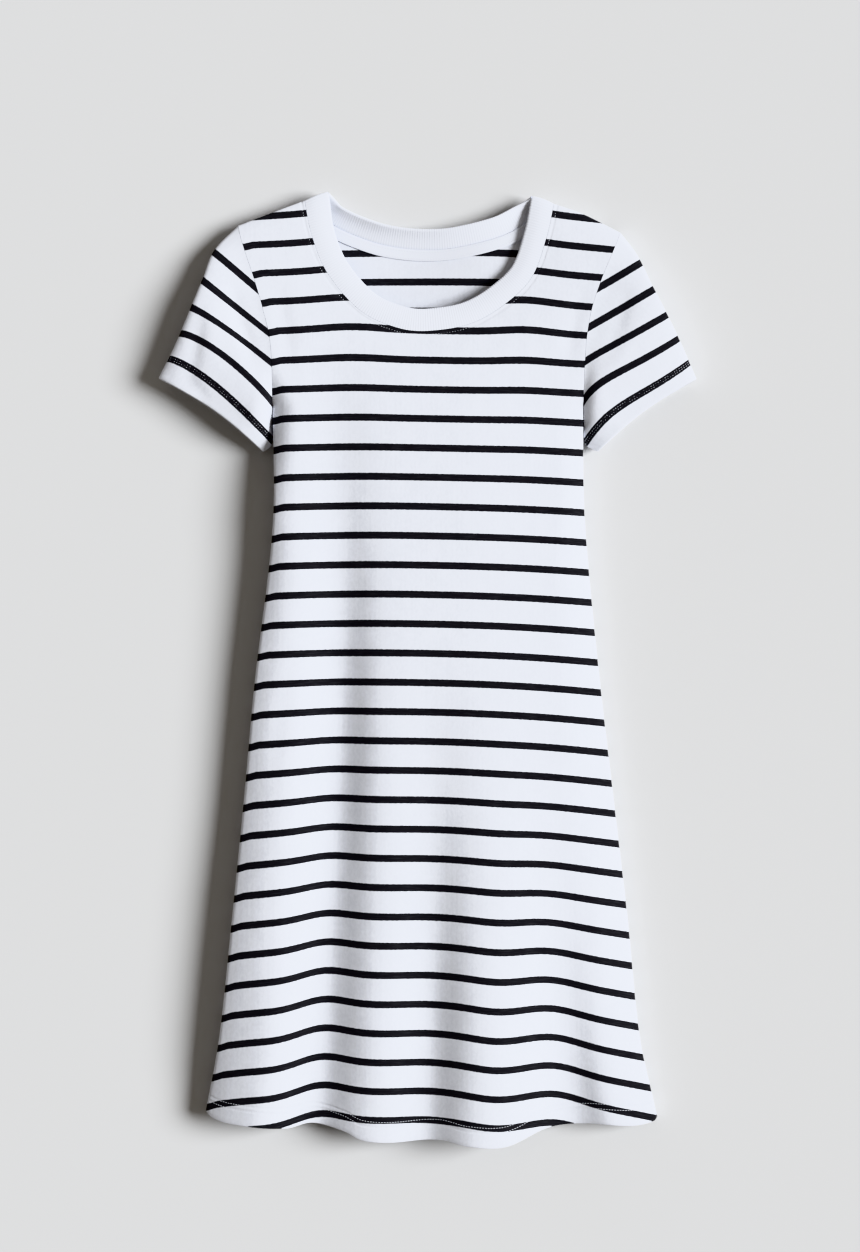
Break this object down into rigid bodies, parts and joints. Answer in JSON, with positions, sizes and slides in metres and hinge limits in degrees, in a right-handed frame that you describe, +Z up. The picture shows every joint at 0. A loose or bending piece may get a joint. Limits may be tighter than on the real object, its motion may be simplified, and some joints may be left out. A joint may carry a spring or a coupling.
{
  "type": "jersey dress",
  "caption": "Child's short-sleeved A-line jersey dress with a ribbed crew neckband, laid flat face up, open at neck, cuffs and hem.",
  "frame": {"origin": "middle of the garment's bounding box, on the surface it lies on", "axes": "+X across the garment, towards the right of the picture; +Y from the hem towards the neck; +Z up from the surface, out of the front"},
  "size_m": [0.3688, 0.6552, 0.0367],
  "materials": {
    "front": "matt cotton jersey, white with thin black stripes",
    "back": "matt cotton jersey, white with thin black stripes",
    "sleeve_left": "matt cotton jersey, white with thin black stripes",
    "sleeve_right": "matt cotton jersey, white with thin black stripes",
    "neckband": "matt white cotton rib",
    "neck_tape": "matt white jersey tape"
  },
  "bodies": {
    "root": {"front": "front", "back": "back", "sleeve_left": "sleeve_left", "sleeve_right": "sleeve_right", "neckband": "neckband", "neck_tape": "neck_tape"}
  },
  "joints": []
}
